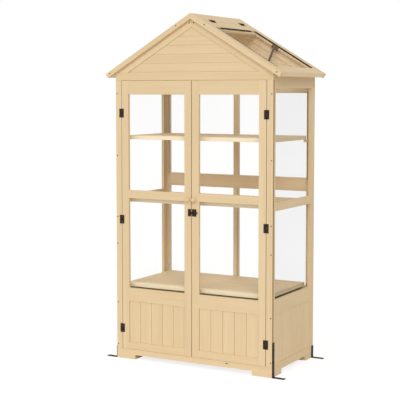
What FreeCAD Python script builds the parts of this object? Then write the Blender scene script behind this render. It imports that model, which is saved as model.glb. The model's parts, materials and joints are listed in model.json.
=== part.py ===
import FreeCAD, Part
import os
import Sketcher

# Wooden mini greenhouse: a framed cabinet with two glazed doors, glazed sides and
# back, two shelves, a slatted deck and a gable roof with a lifting hatch.
# Millimetres. X to the right, Y to the back, Z up. The origin lies on the ground,
# at the middle of the frame. The front faces -Y and the ridge runs along Y.

doc = FreeCAD.newDocument("MiniGreenhouse")

# Driving dimensions

DIMENSIONS = [
    ("width", 1000, "across the front posts"),
    ("depth", 560, "front face to back face of the frame"),
    ("pitch", 30.7, "roof slope in degrees"),
    ("board", 18, "thickness of the frame timber"),
    ("door_board", 17, "thickness of the door timber"),
    ("post_width", 38, "face of a front post"),
    ("front_skirt", 58, "height of the front skirt"),
    ("front_arch", 26, "height of the gap under the front skirt"),
    ("front_foot", 122, "length of a front foot"),
    ("side_skirt", 69, "height of the side and back skirts"),
    ("side_arch", 28, "height of the gap under them"),
    ("side_foot", 104, "length of their feet"),
    ("foot_block", 66, "reach of a foot block behind a foot"),
    ("foot_block_height", 45, "height of that block"),
    ("door_gap", 2, "running gap beside and above a door"),
    ("door_base_gap", 1, "running gap under a door"),
    ("centre_gap", 3, "gap between the two doors"),
    ("door_stile", 45, "width of a door stile"),
    ("door_top_rail", 78, "height of a door top rail"),
    ("door_mid_top", 987, "top of a door middle rail"),
    ("door_mid_rail", 46, "height of a door middle rail"),
    ("door_sill", 418, "top of a door lower rail"),
    ("door_lower_rail", 78, "height of a door lower rail"),
    ("door_bottom_rail", 42, "height of a door bottom rail"),
    ("stop_width", 30, "width of a door stop"),
    ("stop_board", 12, "thickness of a door stop"),
    ("panel_inset", 4, "step from a frame face to its boarding"),
    ("panel_board", 10, "thickness of the matchboard"),
    ("door_joint", 2, "half width of a V joint in a door"),
    ("door_joint_depth", 5, "depth of that joint"),
    ("fine_joint", 1.5, "half width and depth of the other V joints"),
    ("pane", 2, "thickness of a clear sheet"),
    ("pane_lap", 12, "lap of a sheet on its frame"),
    ("side_front_stile", 14, "slim stile behind a front post"),
    ("side_low_stile", 46, "stile beside it, next to the boarding"),
    ("side_rear_stile", 50, "rear stile of a side"),
    ("side_sill", 423, "top of the side and back lower rails"),
    ("side_lower_rail", 78, "height of those rails"),
    ("side_mid_top", 953, "top of a side middle rail"),
    ("side_mid_rail", 45, "height of a side middle rail"),
    ("side_top_board", 91.5, "height of a side top board"),
    ("back_stile", 24, "width of a back stile"),
    ("back_mullion", 35, "width of the back centre bar"),
    ("back_mid_top", 1053, "top of the back middle rail"),
    ("back_mid_rail", 78, "height of the back middle rail"),
    ("back_top_rail", 72, "height of the back top rail"),
    ("gable_base", 1615, "underside of a gable bottom rail"),
    ("gable_rail", 45, "height of a gable bottom rail"),
    ("gable_rafter", 45, "width of a gable rafter under the roof"),
    ("heel", 2.5, "height of a rafter end above the gable rail"),
    ("roof_board", 20, "thickness of the roof"),
    ("roof_joint", 2, "half width of a joint in the roof boards"),
    ("eave_reach", 53, "roof beyond the side, level"),
    ("rear_reach", 30, "roof beyond the back face"),
    ("barge_width", 27, "width of a bargeboard"),
    ("barge_board", 18, "thickness of a bargeboard"),
    ("packer_width", 30, "width of a packer behind the back gable"),
    ("barge_tip", 3, "bargeboard beyond the eave, level"),
    ("ridge_strip", 80, "width of the fixed board above the hatch"),
    ("hatch_gap", 2, "gap round the hatch"),
    ("hatch_seat", 0.5, "air under the closed hatch"),
    ("hatch_head", 90, "width of the hatch top rail"),
    ("hatch_foot", 72, "width of the hatch bottom rail"),
    ("hatch_front_stile", 32, "width of the front hatch stile"),
    ("hatch_rear_stile", 48, "width of the rear hatch stile"),
    ("rebate_depth", 8, "depth of the rebate for the hatch sheet"),
    ("rebate_width", 10, "width of that rebate at the stiles and foot"),
    ("head_lap", 21, "width of that rebate at the head"),
    ("hatch_pane", 3, "thickness of the hatch sheet"),
    ("seal_width", 8, "width of a sloping glazing strip"),
    ("head_seal_width", 5, "width of the level glazing strip"),
    ("seal_corner", 56, "side of the sheet to an end of the level strip"),
    ("seal_end", 4, "end of the sheet to an end of a sloping strip"),
    ("shelf_thick", 22, "thickness of a shelf"),
    ("shelf_back_gap", 34, "back frame to a shelf edge"),
    ("shelf_end_gap", 10, "shelf end to the side sheet"),
    ("shelf_rail", 40, "front and rear rails of a shelf"),
    ("slat_gap", 6, "gap between slats"),
    ("slat_thick", 10, "thickness of a slat"),
    ("batten", 30, "width of a shelf batten"),
    ("upper_shelf", 1299, "top of the upper shelf"),
    ("middle_shelf", 937, "top of the middle shelf"),
    ("deck_top", 444, "top of the slatted deck"),
    ("deck_thick", 23, "thickness of the deck"),
    ("deck_front_gap", 22, "back of a front post to the deck"),
    ("deck_back_gap", 4, "back sheet to the deck"),
    ("deck_end_gap", 26, "deck end to the side sheet"),
    ("block_height", 15, "height of a shelf block"),
    ("block_width", 22, "width of a shelf block"),
    ("block_reach", 10, "length of a shelf block under the shelf"),
    ("cleat_height", 18, "height of a deck cleat"),
    ("cleat_width", 36, "side sheet to the end of a deck cleat"),
    ("cleat_length", 30, "length of a deck cleat, front to back"),
    ("knob_radius", 12.5, "radius of a door knob"),
    ("knob_neck", 6, "radius of its neck"),
    ("knob_stand", 14, "door face to the knob centre"),
    ("knob_inset", 20, "middle of the front to a knob"),
    ("knob_height", 950, "ground to the knobs"),
    ("hinge_length", 50, "length of a butt hinge"),
    ("hinge_leaf", 15, "pin to the edge of a leaf"),
    ("hinge_plate", 1.5, "thickness of a leaf"),
    ("hinge_knuckle", 3, "radius of a knuckle"),
    ("hinge_pin", 1.5, "radius of a hinge pin"),
    ("hinge_play", 0.1, "radial play on the pin"),
    ("hinge_slit", 0.4, "gap between knuckles"),
    ("hinge_stand", 3.5, "mounting face to the pin"),
    ("hinge_top", 184, "door top to the top hinges"),
    ("hinge_middle", 816, "ground to the middle door hinges"),
    ("hinge_bottom", 121, "door base to the bottom hinges"),
    ("hatch_hinge_half", 181, "hatch middle to a hatch hinge"),
    ("latch_height", 877.5, "ground to the bolt"),
    ("latch_plate_height", 41, "height of the latch plates"),
    ("latch_plate_width", 27, "width of the bolt plate"),
    ("keeper_width", 19, "width of the keeper plate"),
    ("latch_inset", 3.5, "middle of the front to a latch plate"),
    ("bolt_radius", 3.5, "radius of the bolt"),
    ("bolt_play", 0.3, "play round the bolt"),
    ("bolt_length", 36, "length of the bolt"),
    ("guide_width", 4, "width of a bolt guide"),
    ("guide_wall", 2.5, "metal round the bolt"),
    ("keeper_block", 8, "width of the keeper guide"),
    ("keeper_play", 0.5, "play round the bolt in the square hole of the keeper"),
    ("grip_radius", 2.4, "radius of the grip on the bolt"),
    ("grip_length", 7, "reach of that grip"),
    ("stay_along", 316, "ridge to the stay pivot along the slope"),
    ("stay_depth", 22, "roof surface down to the stay pivot"),
    ("foot_along", 336, "ridge to the stay foot along the slope"),
    ("foot_depth", 181, "roof surface down to the stay foot"),
    ("stay_inset", 11, "rear hatch stile to the stay line"),
    ("tube_radius", 6, "radius of the stay tube"),
    ("tube_length", 126, "pivot to the end of the tube"),
    ("rod_radius", 3.5, "radius of the stay rod"),
    ("rod_play", 0.3, "play round the rod"),
    ("rod_start", 9, "pivot to the top of the rod"),
    ("eye_radius", 8.5, "radius of the eyes of the stay"),
    ("eye_width", 8, "width of the eyes"),
    ("eye_root", 1, "tube run into its eye"),
    ("stay_pin", 2.5, "radius of the stay pins"),
    ("pin_play", 0.3, "play round the top pin"),
    ("pin_head", 1.5, "thickness and rim of a pin head"),
    ("foot_play", 3.2, "play round the foot pin"),
    ("stay_plate", 3, "thickness of the stay plates"),
    ("stay_plate_length", 47, "length of the plate on the hatch stile"),
    ("stay_plate_height", 20, "height of the stay plates"),
    ("foot_plate_length", 30, "length of the plate on the back gable"),
    ("bracket_leg", 72, "level leg of a ground bracket"),
    ("bracket_upright", 70, "upright leg of a ground bracket"),
    ("long_bracket_upright", 193, "upright leg of the right front one"),
    ("bracket_width", 25, "width of a ground bracket"),
    ("bracket_plate", 3, "thickness of a ground bracket"),
    ("bracket_hole", 4.5, "radius of its ground screw hole"),
    ("bracket_hole_out", 38, "side face to that hole"),
    ("screw_head", 3.6, "radius of a frame screw head"),
    ("screw_head_rise", 1.8, "height of that head"),
    ("screw_shank", 2, "radius of a frame screw"),
    ("screw_length", 30, "length of a frame screw"),
    ("post_screw_inset", 9, "side face to the post screws"),
    ("barge_screw_top", 90, "ridge to the upper bargeboard screws, level"),
    ("barge_screw_out", 28, "side face out to the lower front bargeboard screws"),
    ("barge_screw_in", 50, "side face in to the lower rear bargeboard screws"),
    ("barge_screw_drop", 13.5, "roof surface down to the bargeboard screws"),
    ("rear_barge_screw_drop", 27, "roof surface down to the rear bargeboard screws"),
    ("apex_screw", 14, "middle of the front to the two apex screws"),
    ("apex_screw_drop", 45, "roof surface down to those screws"),
    ("apex_screw_length", 16, "length of those screws"),
]

# Counts, and the heights of the screws up a post

DOOR_BOARDS = 5
SIDE_BOARDS = 6
BACK_BOARDS = 12
GABLE_COURSES = 5
ROOF_COURSES = 7
SHELF_SLATS = 5
POST_SCREWS = (1540, 1184, 830, 674, 328, 82)

sheet = doc.addObject("Spreadsheet::Sheet", "dims")
for row, (alias, value, note) in enumerate(DIMENSIONS, start=1):
    sheet.set(f"A{row}", note)
    sheet.set(f"B{row}", str(value))
    sheet.setAlias(f"B{row}", alias)
doc.recompute()

# Places that several pieces share, as expressions on the sheet

SIDES = (("left", -1), ("right", 1))
HALF_WIDTH = "(dims.width / 2)"
FRONT = "(-dims.depth / 2)"
BACK = "(dims.depth / 2)"
SIDE_IN = f"({HALF_WIDTH} - dims.board)"
SHEET_IN = f"({SIDE_IN} - dims.pane)"
POST_BACK = f"({FRONT} + dims.board)"
STOP_BACK = f"({POST_BACK} + dims.stop_board)"
BACK_IN = f"({BACK} - dims.board)"
BACK_SHEET = f"({BACK_IN} - dims.pane)"
DOOR_IN = "(dims.centre_gap / 2)"
DOOR_OUT = f"({HALF_WIDTH} - dims.post_width - dims.door_gap)"
DOOR_BACK = f"({FRONT} + dims.door_board)"
DOOR_BASE = "(dims.front_skirt + dims.door_base_gap)"
DOOR_TOP = "(dims.gable_base - dims.door_gap)"
PANEL_TOP = "(dims.side_sill - dims.side_lower_rail)"
SLIM_END = f"({POST_BACK} + dims.side_front_stile)"
LOW_PANEL = f"({SLIM_END} + dims.side_low_stile)"
WINDOW_BACK = f"({BACK} - dims.side_rear_stile)"
BACK_SPAN = f"({SIDE_IN} - dims.back_stile)"
GABLE_SHELF = "(dims.gable_base + dims.gable_rail)"
ROOF_DROP = "(dims.roof_board / cos(dims.pitch))"
SIDE_TOP = f"({GABLE_SHELF} + dims.heel)"
SIDE_HEAD = f"({SIDE_TOP} - dims.side_top_board)"
RIDGE = f"({SIDE_TOP} + {ROOF_DROP} + {HALF_WIDTH} * tan(dims.pitch))"
RAFTER_DROP = "((dims.roof_board + dims.gable_rafter) / cos(dims.pitch))"
ROOF_BACK = f"({BACK} + dims.rear_reach)"
BARGE_BACK = f"({ROOF_BACK} - dims.barge_board)"
EAVE = f"({HALF_WIDTH} + dims.eave_reach)"
EAVE_ALONG = f"({EAVE} / cos(dims.pitch))"
HATCH_TOP = "(dims.ridge_strip + dims.hatch_gap)"
HATCH_THICK = "(dims.roof_board - dims.hatch_seat)"
HATCH_FRONT = f"({POST_BACK} + dims.hatch_gap)"
HATCH_BACK = f"({BARGE_BACK} - dims.hatch_gap)"
LIGHT_TOP = f"({HATCH_TOP} + dims.hatch_head)"
LIGHT_FOOT = f"({EAVE_ALONG} - dims.hatch_foot)"
LIGHT_FRONT = f"({HATCH_FRONT} + dims.hatch_front_stile)"
LIGHT_BACK = f"({HATCH_BACK} - dims.hatch_rear_stile)"
STAY_LINE = f"({LIGHT_BACK} - dims.stay_inset)"

nodes = []


def node(thing, label):
    """Names a finished sub-part, which becomes one file."""
    thing.Label = label
    nodes.append(thing)
    return thing


def group(label, things):
    """One sub-part of several separate solids."""
    bundle = doc.addObject("Part::Compound", "Group")
    bundle.Links = things
    return node(bundle, label)


def place(thing, x="0", y="0", z="0"):
    """Ties the place of a piece to the sheet."""
    thing.setExpression("Placement.Base.x", x)
    thing.setExpression("Placement.Base.y", y)
    thing.setExpression("Placement.Base.z", z)
    return thing


def sized(kind, name, **sizes):
    """A primitive whose sizes are tied to the sheet."""
    thing = doc.addObject(kind, name)
    for key, term in sizes.items():
        thing.setExpression(key, term)
    return thing


def box(x, y, z, length, width, height):
    """A plain board, from its lowest corner."""
    board = sized("Part::Box", "Board", Length=length, Width=width, Height=height)
    return place(board, x, y, z)


def side_box(side, x, y, z, length, width, height):
    """A board on the right, or its mirror image on the left."""
    corner = x if side > 0 else f"-({x}) - ({length})"
    return box(corner, y, z, length, width, height)


def round_bar(axis, radius, length, x="0", y="0", z="0"):
    """A cylinder that runs along an axis from its lower end."""
    bar = sized("Part::Cylinder", "RoundBar", Radius=radius, Height=length)
    turn = {"X": FreeCAD.Rotation(FreeCAD.Vector(0, 1, 0), 90),
            "Y": FreeCAD.Rotation(FreeCAD.Vector(1, 0, 0), -90),
            "Z": FreeCAD.Rotation()}[axis]
    bar.Placement = FreeCAD.Placement(FreeCAD.Vector(), turn)
    return place(bar, x, y, z)


def fuse(things):
    """Joins overlapping shapes into one solid."""
    result = doc.addObject("Part::MultiFuse", "Fuse")
    result.Shapes = things
    return result


def cut(base, tools):
    """Takes the tools away from the base."""
    result = doc.addObject("Part::Cut", "Cut")
    result.Base = base
    result.Tool = fuse(tools) if len(tools) > 1 else tools[0]
    return result


def prism(plane, outline, length, offset):
    """A padded outline, from an offset: XZ pads towards -Y, YZ +X and XY +Z."""
    body = doc.addObject("PartDesign::Body", "Body")
    sketch = body.newObject("Sketcher::SketchObject", "Outline")
    role = plane + "_Plane"
    origin = [item for item in body.Origin.OriginFeatures if item.Role == role][0]
    sketch.AttachmentSupport = [(origin, "")]
    sketch.MapMode = "FlatFace"
    places = [[float(sketch.evalExpression(term)) for term in point] for point in outline]
    count = len(outline)
    for index in range(count):
        start = FreeCAD.Vector(*places[index], 0)
        end = FreeCAD.Vector(*places[(index + 1) % count], 0)
        sketch.addGeometry(Part.LineSegment(start, end))
    for index in range(count):
        after = (index + 1) % count
        sketch.addConstraint(Sketcher.Constraint("Coincident", index, 2, after, 1))
    for index, point in enumerate(outline):
        for kind, term, value in zip(("DistanceX", "DistanceY"), point, places[index]):
            rule = sketch.addConstraint(Sketcher.Constraint(kind, -1, 1, index, 1, value))
            sketch.setExpression(f"Constraints[{rule}]", term)
    pad = body.newObject("PartDesign::Pad", "Pad")
    pad.Profile = sketch
    pad.setExpression("Length", length)
    body.Tip = pad
    normal = {"XZ": "y", "YZ": "x", "XY": "z"}[plane]
    body.setExpression(f"Placement.Base.{normal}", offset)
    return body


def on_slope(along, depth, side=1):
    """A point of the roof section: down the slope, and under its surface."""
    x = f"{side} * (({along}) * cos(dims.pitch) - ({depth}) * sin(dims.pitch))"
    z = f"{RIDGE} - ({along}) * sin(dims.pitch) - ({depth}) * cos(dims.pitch)"
    return x, z


def under_roof(x, drop, side=1):
    """A point of the roof section: level from the ridge, and plumb under the surface."""
    return f"{side} * ({x})", f"{RIDGE} - ({x}) * tan(dims.pitch) - ({drop})"


def slope_box(along, y, depth, length, width, height):
    """A board that lies in the right slope, its top at a depth under the surface."""
    board = sized("Part::Box", "SlopeBoard", Length=length, Width=width, Height=height)
    board.Placement = FreeCAD.Placement(
        FreeCAD.Vector(), FreeCAD.Rotation(FreeCAD.Vector(0, 1, 0), 1))
    board.setExpression("Placement.Rotation.Angle", "dims.pitch")
    x, z = on_slope(along, f"({depth}) + ({height})")
    return place(board, x, y, z)


# Frame screws, each with a hole of its own size in what it passes through

screws = []


def screw_hole(x, face, z, towards, length="dims.screw_length"):
    """A hole from a face, towards the back for +1 and the front for -1."""
    start = face if towards > 0 else f"({face}) - {length}"
    return round_bar("Y", "dims.screw_shank", length, x, start, z)


def drive_screw(x, face, z, towards, length="dims.screw_length"):
    """A pan head on the face, with its shank."""
    under_head = f"({face}) - dims.screw_head_rise" if towards > 0 else face
    head = round_bar("Y", "dims.screw_head", "dims.screw_head_rise", x, under_head, z)
    screws.append(fuse([head, screw_hole(x, face, z, towards, length)]))


def post_screw_holes(side):
    x = f"{side} * ({HALF_WIDTH} - dims.post_screw_inset)"
    return [screw_hole(x, FRONT, str(height), 1) for height in POST_SCREWS]


def front_barge_places(side):
    reaches = ("dims.barge_screw_top", f"{HALF_WIDTH} + dims.barge_screw_out")
    return [under_roof(reach, "dims.barge_screw_drop", side) for reach in reaches]


def rear_barge_places(side):
    reaches = ("dims.barge_screw_top", f"{HALF_WIDTH} - dims.barge_screw_in")
    return [under_roof(reach, "dims.rear_barge_screw_drop", side) for reach in reaches]


def apex_place(side):
    return under_roof("dims.apex_screw", "dims.apex_screw_drop", side)


BARGE_FACE = f"({FRONT} - dims.barge_board)"

for name, side in SIDES:
    for height in POST_SCREWS:
        x = f"{side} * ({HALF_WIDTH} - dims.post_screw_inset)"
        drive_screw(x, FRONT, str(height), 1)
    x, z = apex_place(side)
    drive_screw(x, FRONT, z, 1, "dims.apex_screw_length")
    for x, z in front_barge_places(side):
        drive_screw(x, BARGE_FACE, z, 1)
    for x, z in rear_barge_places(side):
        drive_screw(x, ROOF_BACK, z, -1)
group("frame_screws", screws)

# Front posts, door stops and skirts on feet


def skirt_outline(start, end, foot, height, arch):
    """A board that stands on two feet."""
    return [(start, "0"), (f"{start} + {foot}", "0"), (f"{start} + {foot}", arch),
            (f"{end} - {foot}", arch), (f"{end} - {foot}", "0"), (end, "0"),
            (end, height), (start, height)]


group("front_posts", [
    cut(side_box(side, f"{HALF_WIDTH} - dims.post_width", FRONT, "dims.front_skirt",
                 "dims.post_width", "dims.board", "dims.gable_base - dims.front_skirt"),
        post_screw_holes(side))
    for name, side in SIDES])

group("door_stops", [
    side_box(side, f"{SIDE_IN} - dims.stop_width", POST_BACK, "dims.front_skirt",
             "dims.stop_width", "dims.stop_board", "dims.gable_base - dims.front_skirt")
    for name, side in SIDES])

front_skirt = skirt_outline(f"-{HALF_WIDTH}", HALF_WIDTH, "dims.front_foot",
                            "dims.front_skirt", "dims.front_arch")
front_blocks = [
    side_box(side, f"{HALF_WIDTH} - dims.front_foot", POST_BACK, "0",
             "dims.front_foot - dims.board", "dims.foot_block", "dims.foot_block_height")
    for name, side in SIDES]
group("front_skirt", [prism("XZ", front_skirt, "dims.board", POST_BACK)] + front_blocks)

back_skirt = skirt_outline(f"-{SIDE_IN}", SIDE_IN, "dims.side_foot",
                           "dims.side_skirt", "dims.side_arch")
back_blocks = [
    side_box(side, f"{SIDE_IN} - dims.foot_block", f"{BACK} - dims.side_foot", "0",
             "dims.foot_block", "dims.side_foot - dims.board", "dims.foot_block_height")
    for name, side in SIDES]
group("back_skirt", [prism("XZ", back_skirt, "dims.board", BACK)] + back_blocks)

# Matchboard panels, whose boards meet in V joints on the show face


DOOR_JOINT = ("dims.door_joint", "dims.door_joint_depth")
FINE_JOINT = ("dims.fine_joint", "dims.fine_joint")


def board_section(start, end, face, back, inward, joint):
    """Section of a board. Its show corners are cut back to form the joints."""
    half, depth = joint
    shoulder = f"({face}) + ({inward}) * {depth}"
    return [(start, back), (end, back), (end, shoulder), (f"{end} - {half}", face),
            (f"{start} + {half}", face), (start, shoulder)]


def board_edges(index, count, start, end):
    """The two edges of one board of several between a start and an end."""
    step = f"(({end}) - ({start})) / {count}"
    return f"({start}) + {step} * {index}", f"({start}) + {step} * {index + 1}"


def upright_boards(count, start, end, face, inward, base, height, joint, along="X"):
    """Boards side by side along X or Y."""
    back = f"({face}) + ({inward}) * dims.panel_board"
    boards = []
    for index in range(count):
        near, far = board_edges(index, count, start, end)
        section = board_section(near, far, face, back, inward, joint)
        if along == "Y":
            section = [(x, y) for y, x in section]
        boards.append(prism("XY", section, height, base))
    return boards


# Sides

for name, side in SIDES:
    upright = f"{SIDE_TOP} - dims.side_skirt"
    slim = side_box(side, SIDE_IN, POST_BACK, "dims.side_skirt",
                    "dims.board", "dims.side_front_stile", upright)
    low = side_box(side, SIDE_IN, SLIM_END, "dims.side_skirt",
                   "dims.board", "dims.side_low_stile", "dims.side_sill - dims.side_skirt")
    rear = side_box(side, SIDE_IN, WINDOW_BACK, "dims.side_skirt",
                    "dims.board", "dims.side_rear_stile", upright)
    group(f"{name}_side_stiles", [cut(slim, post_screw_holes(side)), low, rear])

    light = f"{WINDOW_BACK} - {SLIM_END}"
    head = side_box(side, SIDE_IN, SLIM_END, SIDE_HEAD,
                    "dims.board", light, f"{SIDE_TOP} - {SIDE_HEAD}")
    middle = side_box(side, SIDE_IN, SLIM_END, "dims.side_mid_top - dims.side_mid_rail",
                      "dims.board", light, "dims.side_mid_rail")
    lower = side_box(side, SIDE_IN, LOW_PANEL, PANEL_TOP,
                     "dims.board", f"{WINDOW_BACK} - {LOW_PANEL}", "dims.side_lower_rail")
    group(f"{name}_side_rails", [head, middle, lower])

    face = f"{side} * ({HALF_WIDTH} - dims.panel_inset)"
    group(f"{name}_side_panel", upright_boards(
        SIDE_BOARDS, LOW_PANEL, WINDOW_BACK, face, -side,
        "dims.side_skirt", f"{PANEL_TOP} - dims.side_skirt", FINE_JOINT, "Y"))

    skirt = skirt_outline(POST_BACK, BACK, "dims.side_foot", "dims.side_skirt", "dims.side_arch")
    inner = SIDE_IN if side > 0 else f"-{HALF_WIDTH}"
    node(prism("YZ", skirt, "dims.board", inner), f"{name}_side_skirt")


def side_pane(side, base, top):
    """A clear sheet on the inner face of a side, between two heights."""
    return side_box(side, SHEET_IN, STOP_BACK, f"{base} - dims.pane_lap", "dims.pane",
                    f"{WINDOW_BACK} + dims.pane_lap - {STOP_BACK}",
                    f"({top}) - ({base}) + 2 * dims.pane_lap")


for name, side in SIDES:
    group(f"{name}_side_panes", [
        side_pane(side, "dims.side_sill", "dims.side_mid_top - dims.side_mid_rail"),
        side_pane(side, "dims.side_mid_top", SIDE_HEAD)])

# Back

BACK_SILL = "dims.side_sill"
BACK_MID_BASE = "(dims.back_mid_top - dims.back_mid_rail)"
BACK_HEAD = "(dims.gable_base - dims.back_top_rail)"


def back_rail(base, height):
    return box(f"-{BACK_SPAN}", BACK_IN, base, f"2 * {BACK_SPAN}", "dims.board", height)


def back_mullion(base, top):
    return box("-dims.back_mullion / 2", BACK_IN, base, "dims.back_mullion", "dims.board",
               f"({top}) - ({base})")


def back_pane(side, base, top):
    """A clear sheet on the inner face of the back, on one side of the mullion."""
    start = "dims.back_mullion / 2 - dims.pane_lap"
    return side_box(side, start, BACK_SHEET, f"{base} - dims.pane_lap",
                    f"{BACK_SPAN} + dims.pane_lap - ({start})", "dims.pane",
                    f"({top}) - ({base}) + 2 * dims.pane_lap")


group("back_stiles", [
    side_box(side, BACK_SPAN, BACK_IN, "dims.side_skirt", "dims.back_stile", "dims.board",
             "dims.gable_base - dims.side_skirt")
    for name, side in SIDES])
group("back_mullions", [back_mullion(BACK_SILL, BACK_MID_BASE),
                        back_mullion("dims.back_mid_top", BACK_HEAD)])
group("back_rails", [back_rail(PANEL_TOP, "dims.side_lower_rail"),
                     back_rail(BACK_MID_BASE, "dims.back_mid_rail"),
                     back_rail(BACK_HEAD, "dims.back_top_rail")])
group("back_panel", upright_boards(
    BACK_BOARDS, f"-{BACK_SPAN}", BACK_SPAN, f"{BACK} - dims.panel_inset", -1,
    "dims.side_skirt", f"{PANEL_TOP} - dims.side_skirt", FINE_JOINT))
group("back_panes", [
    back_pane(side, base, top)
    for base, top in ((BACK_SILL, BACK_MID_BASE), ("dims.back_mid_top", BACK_HEAD))
    for name, side in SIDES])

# Gables: a bottom rail, two rafters and level boards between them


def gable_rafter(side, upper_edge, reach, y_back, holes):
    """A rafter with a given upper edge, cut level where it lands on the bottom rail."""
    inner_foot = f"({RIDGE} - {RAFTER_DROP} - {GABLE_SHELF}) / tan(dims.pitch)"
    lower_edge = [(f"{side} * {reach}", GABLE_SHELF), (f"{side} * {inner_foot}", GABLE_SHELF),
                  under_roof("0", RAFTER_DROP, side)]
    rafter = prism("XZ", upper_edge + lower_edge, "dims.board", y_back)
    return cut(rafter, holes) if holes else rafter


def front_rafter(side):
    """Stands flush with the roof at the front, and has a tail out to the eave."""
    upper_edge = [under_roof("0", "0", side), under_roof(EAVE, "0", side),
                  under_roof(EAVE, ROOF_DROP, side), under_roof(HALF_WIDTH, ROOF_DROP, side)]
    places = front_barge_places(side)
    holes = [screw_hole(x, BARGE_FACE, z, 1) for x, z in places]
    x, z = apex_place(side)
    holes.append(screw_hole(x, FRONT, z, 1, "dims.apex_screw_length"))
    return gable_rafter(side, upper_edge, HALF_WIDTH, POST_BACK, holes)


def back_rafter(side):
    """Carries the roof, which runs on over it."""
    upper_edge = [under_roof("0", ROOF_DROP, side), under_roof(SIDE_IN, ROOF_DROP, side)]
    return gable_rafter(side, upper_edge, SIDE_IN, BACK, [])


def gable_boards(face, inward, y_back):
    """Level boards, trimmed to the triangle inside the rafters."""
    back = f"({face}) + ({inward}) * dims.panel_board"
    peak = f"{RIDGE} - {RAFTER_DROP}"
    foot = f"({peak} - {GABLE_SHELF}) / tan(dims.pitch)"
    boards = []
    for index in range(GABLE_COURSES):
        low, high = board_edges(index, GABLE_COURSES, GABLE_SHELF, peak)
        section = [(y, z) for z, y in board_section(low, high, face, back, inward, FINE_JOINT)]
        strip = prism("YZ", section, "dims.width", f"-{HALF_WIDTH}")
        outline = [(f"-({foot})", GABLE_SHELF), (foot, GABLE_SHELF), ("0", peak)]
        triangle = prism("XZ", outline, "dims.board", y_back)
        board = doc.addObject("Part::MultiCommon", "GableBoard")
        board.Shapes = [strip, triangle]
        boards.append(board)
    return boards


def gable_rail(reach, y):
    return box(f"-({reach})", y, "dims.gable_base", f"2 * ({reach})", "dims.board",
               "dims.gable_rail")


group("front_gable_frame", [gable_rail(HALF_WIDTH, FRONT)]
      + [front_rafter(side) for name, side in SIDES])
group("back_gable_frame", [gable_rail(SIDE_IN, BACK_IN)]
      + [back_rafter(side) for name, side in SIDES])
group("front_gable_boards", gable_boards(f"{FRONT} + dims.panel_inset", 1, POST_BACK))
group("back_gable_boards", gable_boards(f"{BACK} - dims.panel_inset", -1, BACK))

# Roof: bargeboards, the boarded left slope and the strip above the hatch


BARGE_DROP = "(dims.barge_width / cos(dims.pitch))"
PACKER_DROP = "((dims.roof_board + dims.packer_width) / cos(dims.pitch))"
BARGE_END = f"({EAVE} + dims.barge_tip)"
BARGE_ENDS = (BARGE_END, f"{BARGE_END} - dims.barge_width * sin(dims.pitch)")
ROOF_RUN = f"({BARGE_BACK} - {POST_BACK})"


def sloping_board(side, upper, lower, ends, y_back, thickness, holes):
    """A board along the slope between two drops, plumb at the ridge. Its edges end apart."""
    upper_end, lower_end = ends
    outline = [under_roof("0", upper, side), under_roof(upper_end, upper, side),
               under_roof(lower_end, lower, side), under_roof("0", lower, side)]
    return cut(prism("XZ", outline, thickness, y_back), holes)


def front_bargeboard(side):
    holes = [screw_hole(x, BARGE_FACE, z, 1) for x, z in front_barge_places(side)]
    return sloping_board(side, "0", BARGE_DROP, BARGE_ENDS, FRONT, "dims.barge_board", holes)


def rear_holes(side):
    return [screw_hole(x, ROOF_BACK, z, -1) for x, z in rear_barge_places(side)]


def rear_bargeboard(side):
    return sloping_board(side, "0", BARGE_DROP, BARGE_ENDS, ROOF_BACK, "dims.barge_board",
                         rear_holes(side))


def packer(side):
    """Fills the space under the roof between the back gable and its bargeboard."""
    return sloping_board(side, ROOF_DROP, PACKER_DROP, (SIDE_IN, SIDE_IN), BARGE_BACK,
                         "dims.rear_reach - dims.barge_board", rear_holes(side))


group("bargeboards", [board(side) for board in (front_bargeboard, rear_bargeboard)
                      for name, side in SIDES])
group("rear_roof_packers", [packer(side) for name, side in SIDES])


def roof_board(index):
    """One board of the left slope. The first is cut plumb at the ridge, the last at the eave."""
    near, far = board_edges(index, ROOF_COURSES, "0", EAVE_ALONG)
    thick = "dims.roof_board"
    joint = "dims.roof_joint"
    upper_end = [on_slope(near, thick, -1), on_slope(near, joint, -1),
                 on_slope(f"{near} + {joint}", "0", -1)]
    lower_end = [on_slope(f"{far} - {joint}", "0", -1), on_slope(far, joint, -1),
                 on_slope(far, thick, -1)]
    if index == 0:
        upper_end = [under_roof("0", ROOF_DROP), under_roof("0", "0")]
    if index == ROOF_COURSES - 1:
        lower_end = [under_roof(EAVE, "0", -1), under_roof(EAVE, ROOF_DROP, -1)]
    return prism("XZ", upper_end + lower_end, ROOF_RUN, BARGE_BACK)


group("left_roof_boards", [roof_board(index) for index in range(ROOF_COURSES)])

ridge_outline = [under_roof("0", "0"), on_slope("dims.ridge_strip", "0"),
                 on_slope("dims.ridge_strip", "dims.roof_board"), under_roof("0", ROOF_DROP)]
node(prism("XZ", ridge_outline, ROOF_RUN, BARGE_BACK), "ridge_board")

# Hatch: a frame with a clear sheet in a rebate, which closes the right slope

HATCH_DROP = f"({HATCH_THICK} / cos(dims.pitch))"
LIGHT_WIDTH = f"({LIGHT_BACK} - {LIGHT_FRONT})"
SEAL_HEIGHT = "(dims.rebate_depth - dims.hatch_pane)"
SHEET_TOP = f"({LIGHT_TOP} - dims.head_lap)"
SHEET_LENGTH = f"({LIGHT_FOOT} + dims.rebate_width - {SHEET_TOP})"


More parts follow.
